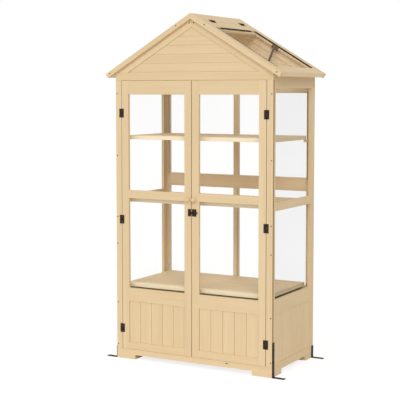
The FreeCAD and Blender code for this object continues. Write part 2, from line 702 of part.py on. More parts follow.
def rebated_stile(y, width, rebate_y):
    """A stile, plumb at the eave, with the rebate along its inner edge."""
    outline = [on_slope(HATCH_TOP, "0"), under_roof(EAVE, "0"), under_roof(EAVE, HATCH_DROP),
               on_slope(HATCH_TOP, HATCH_THICK)]
    stile = prism("XZ", outline, width, f"({y}) + {width}")
    rebate = slope_box(SHEET_TOP, rebate_y, "0", SHEET_LENGTH, "dims.rebate_width",
                       "dims.rebate_depth")
    return cut(stile, [rebate])


hatch_head = cut(
    slope_box(HATCH_TOP, LIGHT_FRONT, "0", "dims.hatch_head", LIGHT_WIDTH, HATCH_THICK),
    [slope_box(SHEET_TOP, LIGHT_FRONT, "0", "dims.head_lap", LIGHT_WIDTH, "dims.rebate_depth")])
foot_outline = [on_slope(LIGHT_FOOT, "0"), under_roof(EAVE, "0"), under_roof(EAVE, HATCH_DROP),
                on_slope(LIGHT_FOOT, HATCH_THICK)]
hatch_foot = cut(
    prism("XZ", foot_outline, LIGHT_WIDTH, LIGHT_BACK),
    [slope_box(LIGHT_FOOT, LIGHT_FRONT, "0", "dims.rebate_width", LIGHT_WIDTH,
               "dims.rebate_depth")])
group("hatch_rails", [hatch_head, hatch_foot])
group("hatch_stiles", [
    rebated_stile(HATCH_FRONT, "dims.hatch_front_stile", f"{LIGHT_FRONT} - dims.rebate_width"),
    rebated_stile(LIGHT_BACK, "dims.hatch_rear_stile", LIGHT_BACK)])
node(slope_box(SHEET_TOP, f"{LIGHT_FRONT} - dims.rebate_width", SEAL_HEIGHT, SHEET_LENGTH,
               f"{LIGHT_WIDTH} + 2 * dims.rebate_width", "dims.hatch_pane"), "hatch_pane")


def seal_down(y):
    """A glazing strip that runs down the slope."""
    return slope_box(f"{SHEET_TOP} + dims.seal_end", y, "0", f"{SHEET_LENGTH} - 2 * dims.seal_end",
                     "dims.seal_width", SEAL_HEIGHT)


level_seal = slope_box(SHEET_TOP, f"{LIGHT_FRONT} - dims.rebate_width + dims.seal_corner", "0",
                       "dims.head_seal_width",
                       f"{LIGHT_WIDTH} + 2 * (dims.rebate_width - dims.seal_corner)", SEAL_HEIGHT)
group("hatch_seals", [
    level_seal,
    seal_down(f"{LIGHT_FRONT} - dims.rebate_width"),
    seal_down(f"{LIGHT_BACK} + dims.rebate_width - dims.seal_width")])

# Doors


def door_box(side, x, z, length, height):
    return side_box(side, x, FRONT, z, length, "dims.door_board", height)


RAIL_START = f"({DOOR_IN} + dims.door_stile)"
RAIL_END = f"({DOOR_OUT} - dims.door_stile)"
DOOR_PANEL_BASE = f"({DOOR_BASE} + dims.door_bottom_rail)"
DOOR_PANEL_TOP = "(dims.door_sill - dims.door_lower_rail)"
DOOR_MID_BASE = "(dims.door_mid_top - dims.door_mid_rail)"
DOOR_HEAD = f"({DOOR_TOP} - dims.door_top_rail)"


def door_pane(side, base, top):
    """A clear sheet on the inner face of a door."""
    return side_box(side, f"{RAIL_START} - dims.pane_lap", DOOR_BACK, f"{base} - dims.pane_lap",
                    f"{RAIL_END} - {RAIL_START} + 2 * dims.pane_lap", "dims.pane",
                    f"({top}) - ({base}) + 2 * dims.pane_lap")


def door_knob(side):
    """A turned knob: a ball on a short neck."""
    x = f"{side} * dims.knob_inset"
    ball = place(sized("Part::Sphere", "Ball", Radius="dims.knob_radius"),
                 x, f"{FRONT} - dims.knob_stand", "dims.knob_height")
    neck = round_bar("Y", "dims.knob_neck", "dims.knob_stand",
                     x, f"{FRONT} - dims.knob_stand", "dims.knob_height")
    behind = box(f"{x} - dims.knob_radius", FRONT, "dims.knob_height - dims.knob_radius",
                 "2 * dims.knob_radius", "dims.knob_radius", "2 * dims.knob_radius")
    return cut(fuse([ball, neck]), [behind])


for name, side in SIDES:
    door_height = f"{DOOR_TOP} - {DOOR_BASE}"
    rail_length = f"{RAIL_END} - {RAIL_START}"
    group(f"{name}_door_stiles", [
        door_box(side, DOOR_IN, DOOR_BASE, "dims.door_stile", door_height),
        door_box(side, RAIL_END, DOOR_BASE, "dims.door_stile", door_height)])
    group(f"{name}_door_rails", [
        door_box(side, RAIL_START, DOOR_BASE, rail_length, "dims.door_bottom_rail"),
        door_box(side, RAIL_START, DOOR_PANEL_TOP, rail_length, "dims.door_lower_rail"),
        door_box(side, RAIL_START, DOOR_MID_BASE, rail_length, "dims.door_mid_rail"),
        door_box(side, RAIL_START, DOOR_HEAD, rail_length, "dims.door_top_rail")])
    start, end = (RAIL_START, RAIL_END) if side > 0 else (f"-{RAIL_END}", f"-{RAIL_START}")
    group(f"{name}_door_panel", upright_boards(
        DOOR_BOARDS, start, end, f"{FRONT} + dims.panel_inset", 1,
        DOOR_PANEL_BASE, f"{DOOR_PANEL_TOP} - {DOOR_PANEL_BASE}", DOOR_JOINT))
    group(f"{name}_door_panes", [door_pane(side, "dims.door_sill", DOOR_MID_BASE),
                                 door_pane(side, "dims.door_mid_top", DOOR_HEAD)])
    node(door_knob(side), f"{name}_door_knob")

# Butt hinges. Each is drawn about its pin, which lies along Z, with the face that it
# is screwed to at +Y, and is then put in its place.

THIRD = "(dims.hinge_length / 3)"
CLEAR_OF_KNUCKLE = "(dims.hinge_knuckle + dims.hinge_slit)"
OUTER_KNUCKLES = (0, 2)
MIDDLE_KNUCKLE = (1,)


def hinge_leaf(direction, thirds):
    """One leaf on the +X or -X side of the pin, with its knuckles."""
    plate_y = "dims.hinge_stand - dims.hinge_plate"
    base = "-dims.hinge_length / 2"
    pieces = [side_box(direction, CLEAR_OF_KNUCKLE, plate_y, base,
                       f"dims.hinge_leaf - {CLEAR_OF_KNUCKLE}", "dims.hinge_plate",
                       "dims.hinge_length")]
    for third in thirds:
        start = f"{base} + {third} * {THIRD} + dims.hinge_slit / 2"
        height = f"{THIRD} - dims.hinge_slit"
        pieces.append(side_box(direction, "0", plate_y, start, "dims.hinge_leaf",
                               "dims.hinge_plate", height))
        pieces.append(round_bar("Z", "dims.hinge_knuckle", height, "0", "0", start))
    bore = round_bar("Z", "dims.hinge_pin + dims.hinge_play", "dims.hinge_length",
                     "0", "0", base)
    return cut(fuse(pieces), [bore])


def hinge_pin(x, y, z):
    return round_bar("Z", "dims.hinge_pin", "dims.hinge_length", x, y,
                     f"({z}) - dims.hinge_length / 2")


def onto_slope(thing, along, y, depth):
    """Puts a hinge drawn about its pin onto the right slope, its pin along Y."""
    x, z = on_slope(along, depth)
    spin = "rotation(vector(0; 1; 0); dims.pitch) * rotation(vector(1; 0; 0); -90)"
    thing.setExpression("Placement", f"placement(vector({x}; {y}; {z}); {spin})")
    return thing


DOOR_PIN_X = f"({HALF_WIDTH} - dims.post_width - dims.door_gap / 2)"
DOOR_PIN_Y = f"({FRONT} - dims.hinge_stand)"
DOOR_HINGES = (f"({DOOR_BASE} + dims.hinge_bottom)", "dims.hinge_middle",
               f"({DOOR_TOP} - dims.hinge_top)")
HATCH_PIN_ALONG = "(dims.ridge_strip + dims.hatch_gap / 2)"
HATCH_MIDDLE = f"(({HATCH_FRONT} + {HATCH_BACK}) / 2)"
HATCH_HINGES = (f"({HATCH_MIDDLE} - dims.hatch_hinge_half)",
                f"({HATCH_MIDDLE} + dims.hatch_hinge_half)")

fixed_leaves = []
pins = []
for name, side in SIDES:
    pin_x = f"{side} * {DOOR_PIN_X}"
    moving_leaves = []
    for height in DOOR_HINGES:
        fixed_leaves.append(place(hinge_leaf(side, OUTER_KNUCKLES), pin_x, DOOR_PIN_Y, height))
        moving_leaves.append(place(hinge_leaf(-side, MIDDLE_KNUCKLE), pin_x, DOOR_PIN_Y, height))
        pins.append(hinge_pin(pin_x, DOOR_PIN_Y, height))
    group(f"{name}_door_hinge_leaves", moving_leaves)

hatch_leaves = []
for y in HATCH_HINGES:
    fixed_leaves.append(onto_slope(hinge_leaf(-1, OUTER_KNUCKLES), HATCH_PIN_ALONG, y,
                                   "-dims.hinge_stand"))
    hatch_leaves.append(onto_slope(hinge_leaf(1, MIDDLE_KNUCKLE), HATCH_PIN_ALONG, y,
                                   "-dims.hinge_stand"))
    pin_x, pin_z = on_slope(HATCH_PIN_ALONG, "-dims.hinge_stand")
    pins.append(round_bar("Y", "dims.hinge_pin", "dims.hinge_length", pin_x,
                          f"{y} - dims.hinge_length / 2", pin_z))
group("hatch_hinge_leaves", hatch_leaves)
group("fixed_hinge_leaves", fixed_leaves)
group("hinge_pins", pins)

# Door latch: a sliding bolt on the right door and its keeper on the left door

GUIDE_REACH = "(dims.bolt_radius + dims.bolt_play + dims.guide_wall)"
BOLT_Y = f"({FRONT} - {GUIDE_REACH})"
BOLT_START = "(dims.latch_inset + dims.bolt_play)"
PLATE_END = "(dims.latch_inset + dims.latch_plate_width)"


def latch_plate(side, width):
    return side_box(side, "dims.latch_inset", f"{FRONT} - dims.hinge_plate",
                    "dims.latch_height - dims.latch_plate_height / 2",
                    width, "dims.hinge_plate", "dims.latch_plate_height")


def bolt_guide(side, x, width):
    """A square guide that stands on a plate."""
    return side_box(side, x, f"{FRONT} - 2 * {GUIDE_REACH}", f"dims.latch_height - {GUIDE_REACH}",
                    width, f"2 * {GUIDE_REACH}", f"2 * {GUIDE_REACH}")


def bolt_bore():
    return round_bar("X", "dims.bolt_radius + dims.bolt_play", "4 * dims.latch_plate_width",
                     "-2 * dims.latch_plate_width", BOLT_Y, "dims.latch_height")


node(cut(fuse([latch_plate(1, "dims.latch_plate_width"),
               bolt_guide(1, "dims.latch_inset", "dims.guide_width"),
               bolt_guide(1, f"{PLATE_END} - dims.guide_width", "dims.guide_width")]),
         [bolt_bore()]), "latch_plate")
KEEPER_REACH = "(dims.bolt_radius + dims.keeper_play)"
keeper_hole = side_box(-1, "dims.latch_inset", f"{BOLT_Y} - {KEEPER_REACH}",
                       f"dims.latch_height - {KEEPER_REACH}", "dims.keeper_block",
                       f"2 * {KEEPER_REACH}", f"2 * {KEEPER_REACH}")
node(cut(fuse([latch_plate(-1, "dims.keeper_width"),
               bolt_guide(-1, "dims.latch_inset", "dims.keeper_block")]),
         [keeper_hole]), "latch_keeper")
GRIP_X = f"({PLATE_END} - dims.guide_width - dims.grip_radius - dims.bolt_play)"
node(fuse([
    round_bar("X", "dims.bolt_radius", "dims.bolt_length", BOLT_START, BOLT_Y,
              "dims.latch_height"),
    round_bar("Y", "dims.grip_radius", "dims.bolt_radius + dims.grip_length", GRIP_X,
              f"{BOLT_Y} - dims.bolt_radius - dims.grip_length", "dims.latch_height")]),
    "latch_bolt")

# Telescopic hatch stay, from a plate on the hatch stile to a plate on the back gable.
# Its line leans from plumb by the pitch, less the lead of the foot down the slope.

STAY_LEAN = ("(dims.pitch * 1 deg - atan((dims.foot_along - dims.stay_along)"
             " / (dims.foot_depth - dims.stay_depth)))")
STAY_CLOSED = ("(sqrt(pow(dims.foot_along - dims.stay_along; 2)"
               " + pow(dims.foot_depth - dims.stay_depth; 2)))")
PIVOT_X, PIVOT_Z = on_slope("dims.stay_along", "dims.stay_depth")
FOOT_X, FOOT_Z = on_slope("dims.foot_along", "dims.foot_depth")
EYE_START = f"({STAY_LINE} - dims.eye_width / 2)"


def stay_bar(radius, start, end):
    """A round bar on the line of the stay, between two distances from its pivot."""
    bar = sized("Part::Cylinder", "StayBar", Radius=radius, Height=f"({end}) - ({start})")
    bar.Placement = FreeCAD.Placement(
        FreeCAD.Vector(), FreeCAD.Rotation(FreeCAD.Vector(0, 1, 0), 1))
    bar.setExpression("Placement.Rotation.Angle", STAY_LEAN)
    return place(bar, f"({PIVOT_X}) - ({end}) * sin({STAY_LEAN})", STAY_LINE,
                 f"({PIVOT_Z}) - ({end}) * cos({STAY_LEAN})")


def eye(x, z):
    return round_bar("Y", "dims.eye_radius", "dims.eye_width", x, EYE_START, z)


def eye_hole(x, z, play):
    return round_bar("Y", f"dims.stay_pin + {play}", "dims.eye_width", x, EYE_START, z)


def stay_stud(x, z, plate_y):
    """A pin with a head, which carries an eye of the stay on a plate."""
    end = f"({EYE_START} - dims.pin_head - dims.pin_play)"
    return [round_bar("Y", "dims.stay_pin", f"({plate_y}) - {end}", x, end, z),
            round_bar("Y", "dims.stay_pin + dims.foot_play + dims.pin_head", "dims.pin_head",
                      x, end, z)]


hatch_plate_y = f"({LIGHT_BACK} - dims.stay_plate)"
hatch_plate = slope_box("dims.stay_along - dims.stay_plate_length / 2", hatch_plate_y,
                        "dims.rebate_depth + dims.pin_play", "dims.stay_plate_length",
                        "dims.stay_plate", "dims.stay_plate_height")
node(fuse([hatch_plate] + stay_stud(PIVOT_X, PIVOT_Z, hatch_plate_y)), "stay_hatch_plate")

foot_plate_y = f"({BACK_IN} - dims.stay_plate)"
foot_plate = box(f"{FOOT_X} - dims.foot_plate_length / 2", foot_plate_y,
                 f"{FOOT_Z} - dims.stay_plate_height / 2", "dims.foot_plate_length",
                 "dims.stay_plate", "dims.stay_plate_height")
node(fuse([foot_plate] + stay_stud(FOOT_X, FOOT_Z, foot_plate_y)), "stay_foot_plate")

node(cut(fuse([stay_bar("dims.tube_radius", "dims.eye_radius - dims.eye_root", "dims.tube_length"),
               eye(PIVOT_X, PIVOT_Z)]),
         [stay_bar("dims.rod_radius + dims.rod_play", "dims.rod_start - 2 * dims.rod_play",
                   "dims.tube_length + dims.rod_play"),
          eye_hole(PIVOT_X, PIVOT_Z, "dims.pin_play")]), "stay_tube")
node(cut(fuse([stay_bar("dims.rod_radius", "dims.rod_start", STAY_CLOSED), eye(FOOT_X, FOOT_Z)]),
         [eye_hole(FOOT_X, FOOT_Z, "dims.foot_play")]), "stay_rod")

# Shelves and deck: rails, slats between them and battens under the slats

SHELF_HALF = f"({SHEET_IN} - dims.shelf_end_gap)"
DECK_HALF = f"({SHEET_IN} - dims.deck_end_gap)"
SHELF_BACK = f"({BACK_IN} - dims.shelf_back_gap)"
DECK_FRONT = f"({POST_BACK} + dims.deck_front_gap)"
DECK_BACK = f"({BACK_SHEET} - dims.deck_back_gap)"


def slatted(label, top, thick, front, back, half):
    """A slatted board: front and rear rails, slats and three battens."""
    base = f"({top} - {thick})"
    length = f"2 * {half}"
    inner = f"(({back}) - ({front}) - 2 * dims.shelf_rail)"
    slat = f"(({inner} - {SHELF_SLATS + 1} * dims.slat_gap) / {SHELF_SLATS})"
    pieces = [box(f"-{half}", front, base, length, "dims.shelf_rail", thick),
              box(f"-{half}", f"{back} - dims.shelf_rail", base, length,
                  "dims.shelf_rail", thick)]
    for index in range(SHELF_SLATS):
        y = f"{front} + dims.shelf_rail + dims.slat_gap + {index} * ({slat} + dims.slat_gap)"
        pieces.append(box(f"-{half}", y, f"{top} - dims.slat_thick", length, slat,
                          "dims.slat_thick"))
    for x in (f"-{half}", "-dims.batten / 2", f"{half} - dims.batten"):
        pieces.append(box(x, f"{front} + dims.shelf_rail", base, "dims.batten", inner,
                          f"{thick} - dims.slat_thick"))
    group(label, pieces)


slatted("upper_shelf_boards", "dims.upper_shelf", "dims.shelf_thick",
        f"-{SHELF_BACK}", SHELF_BACK, SHELF_HALF)
slatted("middle_shelf_boards", "dims.middle_shelf", "dims.shelf_thick",
        f"-{SHELF_BACK}", SHELF_BACK, SHELF_HALF)
slatted("deck_boards", "dims.deck_top", "dims.deck_thick", DECK_FRONT, DECK_BACK, DECK_HALF)


def shelf_blocks(top):
    """Four blocks that carry the corners of a shelf."""
    under = f"({SHELF_BACK} - dims.block_reach)"
    base = f"{top} - dims.shelf_thick - dims.block_height"
    spans = ((STOP_BACK, f"-{under}"), (under, BACK_SHEET))
    return [side_box(side, f"{SHEET_IN} - dims.block_width", start, base, "dims.block_width",
                     f"({end}) - ({start})", "dims.block_height")
            for name, side in SIDES for start, end in spans]


group("shelf_blocks", shelf_blocks("dims.upper_shelf") + shelf_blocks("dims.middle_shelf"))
group("deck_cleats", [
    side_box(side, f"{SHEET_IN} - dims.cleat_width", start,
             "dims.deck_top - dims.deck_thick - dims.cleat_height",
             "dims.cleat_width", "dims.cleat_length", "dims.cleat_height")
    for name, side in SIDES for start in (STOP_BACK, f"{BACK_SHEET} - dims.cleat_length")])

# Ground brackets: an L of flat bar at each corner, with a hole for a ground screw


def ground_bracket(side, middle, height):
    outline = [(f"{side} * {HALF_WIDTH}", "0"),
               (f"{side} * ({HALF_WIDTH} + dims.bracket_leg)", "0"),
               (f"{side} * ({HALF_WIDTH} + dims.bracket_leg)", "dims.bracket_plate"),
               (f"{side} * ({HALF_WIDTH} + dims.bracket_plate)", "dims.bracket_plate"),
               (f"{side} * ({HALF_WIDTH} + dims.bracket_plate)", height),
               (f"{side} * {HALF_WIDTH}", height)]
    bar = prism("XZ", outline, "dims.bracket_width", f"{middle} + dims.bracket_width / 2")
    hole = round_bar("Z", "dims.bracket_hole", "dims.bracket_plate",
                     f"{side} * ({HALF_WIDTH} + dims.bracket_hole_out)", middle, "0")
    return cut(bar, [hole])


front_middle = f"({FRONT} + dims.bracket_width / 2)"
rear_middle = f"({BACK} - dims.bracket_width / 2)"
group("ground_brackets", [
    ground_bracket(-1, front_middle, "dims.bracket_upright"),
    ground_bracket(-1, rear_middle, "dims.bracket_upright"),
    ground_bracket(1, front_middle, "dims.long_bracket_upright"),
    ground_bracket(1, rear_middle, "dims.bracket_upright")])

# Check every piece, then write one file for each

doc.recompute()
for thing in doc.Objects:
    if "Invalid" in thing.State or "Error" in thing.State:
        raise RuntimeError(f"{thing.Label} could not be built")
os.makedirs("parts", exist_ok=True)
for thing in nodes:
    shape = thing.Shape
    if shape.isNull() or not shape.isValid():
        raise RuntimeError(f"{thing.Label} has no valid shape")
for thing in nodes:
    thing.Shape.exportStep(f"parts/{thing.Label}.step")
    volume = thing.Shape.Volume / 1000
    print(f"{thing.Label}: {len(thing.Shape.Solids)} solids, {volume:.1f} cm3")
print(len(nodes), "sub-parts")
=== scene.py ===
import json
import math
import random

import bmesh
import bpy
from mathutils import Matrix, Vector

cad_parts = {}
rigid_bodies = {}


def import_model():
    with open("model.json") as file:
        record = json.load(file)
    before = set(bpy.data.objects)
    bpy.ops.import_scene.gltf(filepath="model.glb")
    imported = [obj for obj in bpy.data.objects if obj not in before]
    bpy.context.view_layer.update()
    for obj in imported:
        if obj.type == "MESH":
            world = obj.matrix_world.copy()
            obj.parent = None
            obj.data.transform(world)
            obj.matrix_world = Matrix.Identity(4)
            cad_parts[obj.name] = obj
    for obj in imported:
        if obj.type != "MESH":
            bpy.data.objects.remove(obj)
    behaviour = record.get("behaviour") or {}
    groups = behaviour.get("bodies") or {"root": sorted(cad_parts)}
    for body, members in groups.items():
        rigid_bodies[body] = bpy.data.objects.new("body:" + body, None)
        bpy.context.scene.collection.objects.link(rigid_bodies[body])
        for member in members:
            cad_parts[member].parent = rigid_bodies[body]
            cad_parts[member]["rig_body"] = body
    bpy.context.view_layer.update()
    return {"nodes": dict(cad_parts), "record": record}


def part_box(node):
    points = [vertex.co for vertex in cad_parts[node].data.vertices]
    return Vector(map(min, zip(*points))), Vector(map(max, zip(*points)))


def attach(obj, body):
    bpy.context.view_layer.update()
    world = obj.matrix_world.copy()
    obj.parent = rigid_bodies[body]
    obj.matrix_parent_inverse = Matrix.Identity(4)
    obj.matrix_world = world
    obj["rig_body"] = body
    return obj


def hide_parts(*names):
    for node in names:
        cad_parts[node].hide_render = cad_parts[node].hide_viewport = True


# Wooden mini greenhouse. Each board of planed fir gets eased edges and a grain of
# its own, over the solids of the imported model. Metres, in the model's own frame.

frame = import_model()
nodes = frame["nodes"]
slots = {part["node"]: part["material_slot"] for part in frame["record"]["subparts"]}
scene = bpy.context.scene
MM = 0.001
UP = Vector((0, 0, 1))
FORWARD = Vector((0, -1, 0))
BACKWARD = Vector((0, 1, 0))
RIGHTWARD = Vector((1, 0, 0))
PITCH = math.radians(30.7)
ROOF_NORMAL = Vector((math.sin(PITCH), 0, math.cos(PITCH)))
DOWN_ROOF = Vector((math.cos(PITCH), 0, -math.sin(PITCH)))


# Nodes and colours

def linear(hex_colour):
    """Linear colour of an sRGB hex value."""
    channels = [int(hex_colour[i:i + 2], 16) / 255 for i in (1, 3, 5)]
    shares = [c / 12.92 if c <= 0.04045 else ((c + 0.055) / 1.055) ** 2.4 for c in channels]
    return (*shares, 1)


def add(tree, kind, settings=None, **inputs):
    """Adds a node. An input is a constant, a socket to link from, or a list of those."""
    made = tree.nodes.new(kind)
    for key, value in (settings or {}).items():
        setattr(made, key, value)
    for key, value in inputs.items():
        socket = made.inputs[int(key[1:]) if key[1:].isdigit() else key.replace("_", " ")]
        sources = value if isinstance(value, list) else [value]
        for source in sources:
            if isinstance(source, bpy.types.NodeSocket):
                tree.links.new(source, socket)
            else:
                socket.default_value = source
    return made


def ramp(tree, factor, *stops):
    """A colour ramp from pairs of position and hex colour or grey."""
    made = add(tree, "ShaderNodeValToRGB", Fac=factor)
    band = made.color_ramp.elements
    for index, (place, colour) in enumerate(stops):
        stop = band[index] if index < 2 else band.new(place)
        stop.position = place
        stop.color = linear(colour) if isinstance(colour, str) else [colour] * 3 + [1]
    return made.outputs["Color"]


def surface(name):
    """A new material with its tree and its Principled shader."""
    material = bpy.data.materials.new(name)
    material.use_nodes = True
    tree = material.node_tree
    return material, tree, tree.nodes["Principled BSDF"]


# Fir. Each pattern has a length along the board and a width across it.

# Growth bands are about 5 mm apart on such boards, drawn near 9 mm so they show
BANDS = (640 * MM, 9 * MM)
# Fibres are tenths of a millimetre wide, drawn as coarse as 2 mm
FIBRES = (110 * MM, 2 * MM)
# Slow change of colour along a board
DRIFT = (420 * MM, 80 * MM)
# Places where a knot may sit, and the share of them that have one
KNOT_CELLS = (420 * MM, 160 * MM)
KNOT_SHARE = 0.14
# A knot is a few hundredths of its cell wide, about 10 mm, and fades over its rim
KNOT_RIM = (0.034, 0.022)
SOUND_KNOT = "#b98e5c"
DEAD_KNOT = "#4a3620"
DEAD_KNOT_HALF_LENGTH = 9 * MM
DEAD_KNOT_HALF_HEIGHT = 3.5 * MM


def planed_fir(name, light, dark, blemish=None):
    """Planed, unvarnished fir: satin, with soft growth bands along the board."""
    material, tree, shader = surface(name)
    grain = add(tree, "ShaderNodeAttribute", {"attribute_name": "grain"}).outputs["Vector"]
    tone = add(tree, "ShaderNodeAttribute", {"attribute_name": "tone"}).outputs["Fac"]

    def stretched(pattern):
        """The grain's own coordinates, in units of a pattern's length and width."""
        along, across = pattern
        return add(tree, "ShaderNodeVectorMath", {"operation": "MULTIPLY"}, _0=grain,
                   _1=(1 / along, 1 / across, 1 / across)).outputs[0]

    def noise(vector, detail, distortion=0.0):
        return add(tree, "ShaderNodeTexNoise", Vector=vector, Scale=1.0, Detail=detail,
                   Roughness=0.55, Distortion=distortion).outputs["Fac"]

    def weighed(amount, value, base):
        """A share of a value, added to a base."""
        return add(tree, "ShaderNodeMath", {"operation": "MULTIPLY_ADD"}, _0=value,
                   _1=amount, _2=base).outputs[0]

    bands = noise(stretched(BANDS), 2.0, 0.3)
    fibres = noise(stretched(FIBRES), 3.0)
    drift = noise(stretched(DRIFT), 1.0)
    # The board's own tone shifts the whole figure a little, up or down
    level = weighed(0.1, tone, -0.05)
    figure = weighed(0.5, bands, weighed(0.2, fibres, weighed(0.3, drift, level)))
    wood = ramp(tree, figure, (0.32, light), (0.68, dark))

    # Pale sound knots on few of the boards
    cells = add(tree, "ShaderNodeTexVoronoi", {"feature": "F1"},
                Vector=stretched(KNOT_CELLS), Scale=1.0, Randomness=1.0)
    near = add(tree, "ShaderNodeMapRange", Value=cells.outputs["Distance"],
               From_Min=KNOT_RIM[0], From_Max=KNOT_RIM[1], To_Min=0.0, To_Max=0.6).outputs[0]
    picked = add(tree, "ShaderNodeSeparateColor", Color=cells.outputs["Color"]).outputs[0]
    chosen = add(tree, "ShaderNodeMath", {"operation": "LESS_THAN"}, _0=picked,
                 _1=KNOT_SHARE).outputs[0]
    heart = add(tree, "ShaderNodeMath", {"operation": "MULTIPLY"}, _0=near,
                _1=chosen).outputs[0]
    wood = add(tree, "ShaderNodeMix", {"data_type": "RGBA"}, _0=heart, _6=wood,
               _7=linear(SOUND_KNOT)).outputs[2]
    if blemish:
        wood = dead_knot(tree, wood, blemish)
    tree.links.new(wood, shader.inputs["Base Color"])

    gloss = add(tree, "ShaderNodeMapRange", Value=fibres, To_Min=0.5, To_Max=0.68)
    tree.links.new(gloss.outputs[0], shader.inputs["Roughness"])
    bump = add(tree, "ShaderNodeBump", Strength=0.12, Distance=0.4 * MM, Height=fibres)
    tree.links.new(bump.outputs[0], shader.inputs["Normal"])
    shader.inputs["Specular IOR Level"].default_value = 0.3
    return material


def dead_knot(tree, wood, place):
    """One small dark knot at a place on the piece, through the whole depth of the piece."""
    spot = add(tree, "ShaderNodeTexCoord").outputs["Object"]
    spot = add(tree, "ShaderNodeVectorMath", {"operation": "SUBTRACT"}, _0=spot, _1=place)
    spot = add(tree, "ShaderNodeVectorMath", {"operation": "MULTIPLY"}, _0=spot.outputs[0],
               _1=(1 / DEAD_KNOT_HALF_LENGTH, 0, 1 / DEAD_KNOT_HALF_HEIGHT))
    reach = add(tree, "ShaderNodeVectorMath", {"operation": "LENGTH"}, _0=spot.outputs[0])
    dark = add(tree, "ShaderNodeMapRange", Value=reach.outputs["Value"], From_Min=1.1,
               From_Max=0.7, To_Min=0.0, To_Max=0.85)
    return add(tree, "ShaderNodeMix", {"data_type": "RGBA"}, _0=dark.outputs[0], _6=wood,
               _7=linear(DEAD_KNOT)).outputs[2]


# Sheets, metal and rubber

# Waves of haze left in a sheet by the rollers
HAZE = 260 * MM
# Orange peel of a sprayed coat, and the slow change of its gloss
PEEL = 1.6 * MM
CLOUD = 22 * MM
# Grey bloom on rubber that has been out of doors
BLOOM = 9 * MM


def clear_acrylic(name, body, veil):
    """Extruded acrylic sheet: clear, with a faint uneven haze that takes the light."""
    material, tree, shader = surface(name)
    place = add(tree, "ShaderNodeTexCoord").outputs["Object"]
    haze = add(tree, "ShaderNodeTexNoise", Vector=place, Scale=1 / HAZE, Detail=2.0)
    tree.links.new(ramp(tree, haze.outputs["Fac"], (0.3, body[0]), (0.7, body[1])),
                   shader.inputs["Base Color"])
    smear = add(tree, "ShaderNodeMapRange", Value=haze.outputs["Fac"],
                To_Min=0.04, To_Max=0.12)
    tree.links.new(smear.outputs[0], shader.inputs["Roughness"])
    shader.inputs["IOR"].default_value = 1.49
    shader.inputs["Alpha"].default_value = veil
    return material


def powder_coat(name, colour, worn):
    """Powder coat on steel: even, half matt, with the fine orange peel of the spray."""
    material, tree, shader = surface(name)
    place = add(tree, "ShaderNodeTexCoord").outputs["Object"]
    peel = add(tree, "ShaderNodeTexNoise", Vector=place, Scale=1 / PEEL, Detail=2.0)
    cloud = add(tree, "ShaderNodeTexNoise", Vector=place, Scale=1 / CLOUD, Detail=3.0)
    tree.links.new(ramp(tree, cloud.outputs["Fac"], (0.35, colour), (0.75, worn)),
                   shader.inputs["Base Color"])
    gloss = add(tree, "ShaderNodeMapRange", Value=cloud.outputs["Fac"],
                To_Min=0.55, To_Max=0.7)
    tree.links.new(gloss.outputs[0], shader.inputs["Roughness"])
    bump = add(tree, "ShaderNodeBump", Strength=0.25, Distance=0.06 * MM,
               Height=peel.outputs["Fac"])
    tree.links.new(bump.outputs[0], shader.inputs["Normal"])
    shader.inputs["Specular IOR Level"].default_value = 0.25
    return material


def rubber(name):
    """Black EPDM glazing strip: matt, slightly bloomed."""
    material, tree, shader = surface(name)
    place = add(tree, "ShaderNodeTexCoord").outputs["Object"]
    bloom = add(tree, "ShaderNodeTexNoise", Vector=place, Scale=1 / BLOOM, Detail=4.0)
    tree.links.new(ramp(tree, bloom.outputs["Fac"], (0.3, "#1d1813"), (0.8, "#2f2820")),
                   shader.inputs["Base Color"])
    gloss = add(tree, "ShaderNodeMapRange", Value=bloom.outputs["Fac"],
                To_Min=0.65, To_Max=0.85)
    tree.links.new(gloss.outputs[0], shader.inputs["Roughness"])
    shader.inputs["Specular IOR Level"].default_value = 0.25
    return material


# The front and the outside: warm straw, as fresh fir is after planing
FRAME_FIR = planed_fir("planed_fir_frame", "#edd3aa", "#e2c699")
SKIRT_KNOT = (222 * MM, -280 * MM, 49 * MM)
SKIRT_FIR = planed_fir("planed_fir_front_skirt", "#edd3aa", "#e2c699", blemish=SKIRT_KNOT)
# Painted shade: a darker fir on the door stiles' edges along the gaps round the doors, on the
# stops seen through the gaps, and on the narrow faces of the front posts
GAPS_PAINTED_SHADE = planed_fir("fir_gaps_painted_shade", "#b4976e", "#a2855c")
# Painted light: the slats of the shelves and the deck, then the frame and gable of the back,
# are paler than the frame, so the inside looks as brightly lit as the front
SLATS_PAINTED_LIGHT = planed_fir("fir_slats_painted_light", "#f3dcb4", "#ead0a4")
BACK_PAINTED_LIGHT = planed_fir("fir_back_painted_light", "#f5e0ba", "#ead2a8")
# Painted light: a nearly white fir on the front rails of the shelves and the deck and under
# the left slope, where the lamps alone leave them darker
RAILS_PAINTED_LIGHT = planed_fir("fir_rails_painted_light", "#fff1cd", "#ffedc6")
# End grain on a turned knob is a little darker than the face of a board
KNOB_FIR = planed_fir("turned_fir_knobs", "#edd3aa", "#dfc296")
# Thin clear sheet hardly shows. The right side's has a grey veil, a painted reflection of the
# sheet seen at a slant.
CLEAR = clear_acrylic("clear_acrylic", ("#dfe6e4", "#f1f4f2"), 0.02)
REFLECTION_PAINTED_SHEET = clear_acrylic("acrylic_with_painted_reflection", ("#545758", "#626566"), 0.075)
# The stay is brown, the other fittings a warm black, and their screws catch more light
BRONZE_STEEL = powder_coat("bronze_powder_coat", "#6b5140", "#7d6150")
BLACK_STEEL = powder_coat("black_powder_coat", "#2b2318", "#382e21")
SCREW_STEEL = powder_coat("black_zinc_screws", "#4a3d2b", "#5c4d38")
SEAL = rubber("epdm_strip")


# Boards: each closed shell of a timber node is one board

